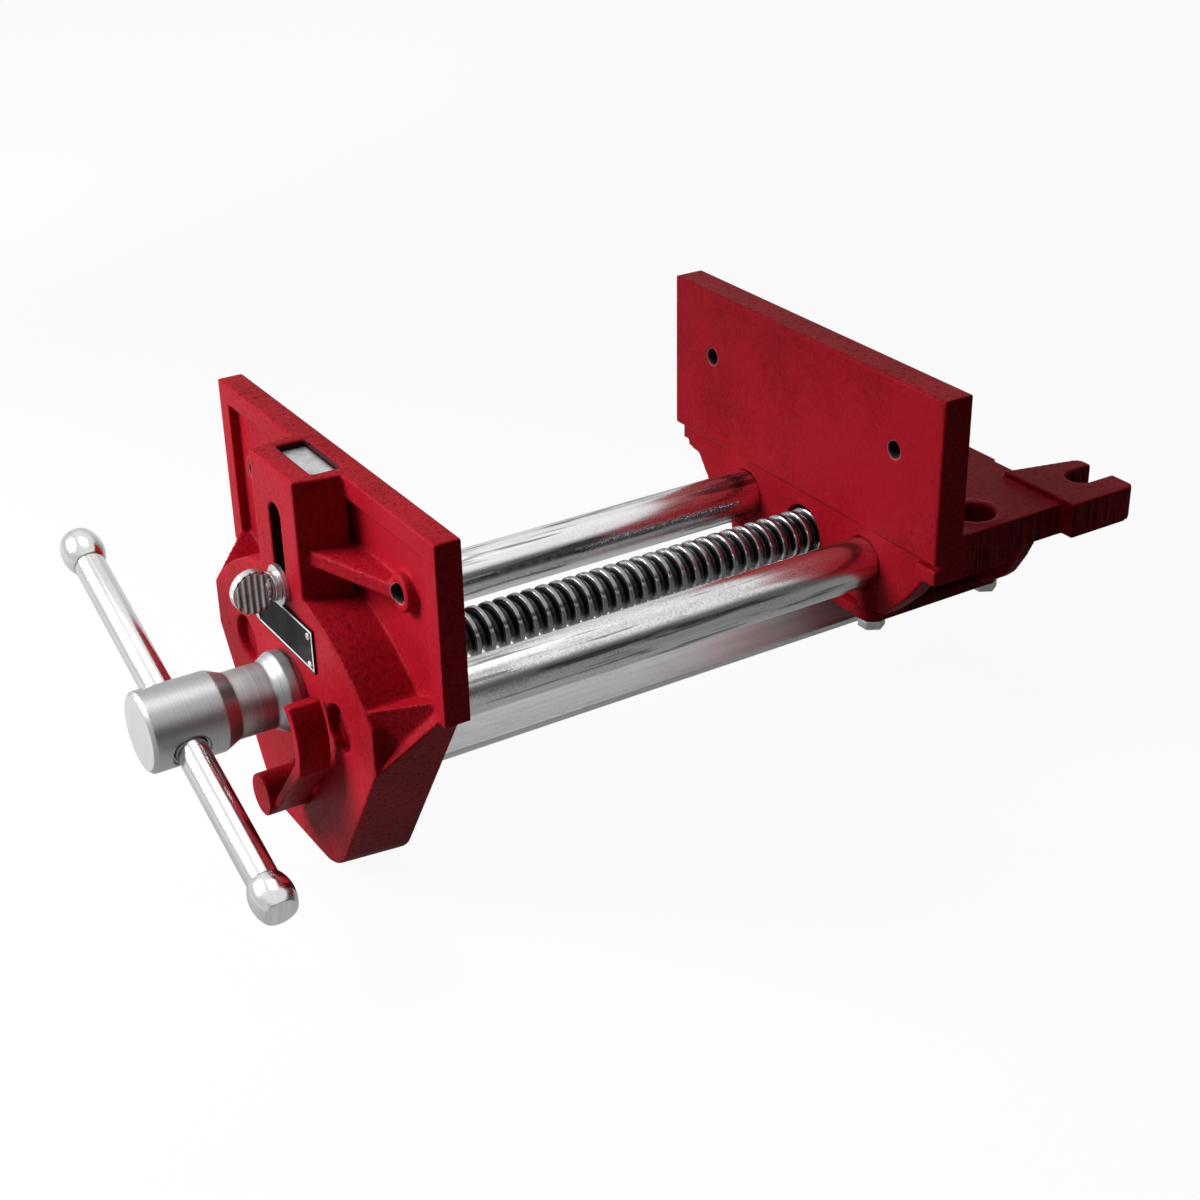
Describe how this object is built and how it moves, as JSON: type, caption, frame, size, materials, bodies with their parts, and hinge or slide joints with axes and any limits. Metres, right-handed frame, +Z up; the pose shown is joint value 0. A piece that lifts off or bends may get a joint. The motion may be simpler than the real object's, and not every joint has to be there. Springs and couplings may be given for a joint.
{
  "type": "woodworking vise",
  "caption": "Quick-release woodworking vise with wide cast jaws, guide rods, a screw with a sliding handle, a dog and a slotted bench flange, shown fully open.",
  "frame": {"origin": "middle of the line between the two flange bolt holes, on top of the bench flange", "axes": "+Z up, +Y from the handle towards the bench, along the screw, +X to the right for someone at the handle"},
  "size_m": [0.192, 0.3883, 0.155],
  "materials": {
    "painted_casting": "red enamel over a cast grain",
    "bright_steel": "bright drawn and turned steel",
    "oiled_dark_steel": "dark oiled steel",
    "zinc_plated_steel": "zinc plating, a little dull",
    "black_plate": "black enamel, left bare"
  },
  "bodies": {
    "base": {"rear_jaw": "painted_casting", "nut_bracket": "painted_casting", "bracket_bolts": "zinc_plated_steel", "nut_spring_left": "bright_steel", "nut_spring_right": "bright_steel"},
    "nut": {"half_nut": "oiled_dark_steel"},
    "front": {"front_jaw": "painted_casting", "guide_rod_left": "bright_steel", "guide_rod_right": "bright_steel", "rod_pins": "bright_steel", "end_plate": "painted_casting", "end_plate_bolts": "zinc_plated_steel", "end_plate_washers": "zinc_plated_steel", "name_plate": "black_plate", "name_plate_rivets": "zinc_plated_steel"},
    "screw": {"main_screw": "oiled_dark_steel", "screw_head": "bright_steel", "thrust_washer": "oiled_dark_steel", "screw_collar": "bright_steel", "collar_pin": "bright_steel"},
    "handle": {"handle_bar": "bright_steel", "handle_knob_upper": "bright_steel", "handle_knob_lower": "bright_steel"},
    "lever": {"release_lever": "painted_casting", "release_bar": "bright_steel", "lever_pin": "bright_steel", "bar_ring": "bright_steel"},
    "dog_block": {"dog": "zinc_plated_steel", "dog_washer": "zinc_plated_steel"},
    "thumbscrew": {"dog_thumbscrew": "zinc_plated_steel"}
  },
  "joints": [
    {"name": "jaw_slide", "type": "slide", "parent": "base", "child": "front", "axis": [0, 1, 0], "range_m": [0, 0.203]},
    {"name": "screw_turn", "type": "hinge", "parent": "front", "child": "screw", "pos_m": [0, -0.26, -0.0307], "axis": [0, 1, 0], "range_deg": [0, 11508]},
    {"name": "handle_slide", "type": "slide", "parent": "screw", "child": "handle", "axis": [0.9323, 0, -0.3616], "range_m": [-0.059, 0.068]},
    {"name": "lever_turn", "type": "hinge", "parent": "front", "child": "lever", "pos_m": [0, -0.24, -0.072], "axis": [0, -1, 0], "range_deg": [0, 16]},
    {"name": "half_nut_drop", "type": "slide", "parent": "base", "child": "nut", "axis": [0, 0, -1], "range_m": [0, 0.00414], "stiffness_N_per_m": 100, "springref_m": -0.03, "deforming": ["nut_spring_left", "nut_spring_right"]},
    {"name": "dog_slide", "type": "slide", "parent": "front", "child": "dog_block", "axis": [0, 0, 1], "range_m": [0, 0.027]},
    {"name": "thumbscrew_turn", "type": "hinge", "parent": "dog_block", "child": "thumbscrew", "pos_m": [0, -0.26, 0.0123], "axis": [0, 1, 0], "range_deg": [-360, 360]}
  ],
  "couplings": [
    {"joint": "jaw_slide", "follows": "screw_turn", "m_per_rad": 0.0010106},
    {"joint": "half_nut_drop", "follows": "lever_turn", "m_per_rad": 0.0148}
  ]
}
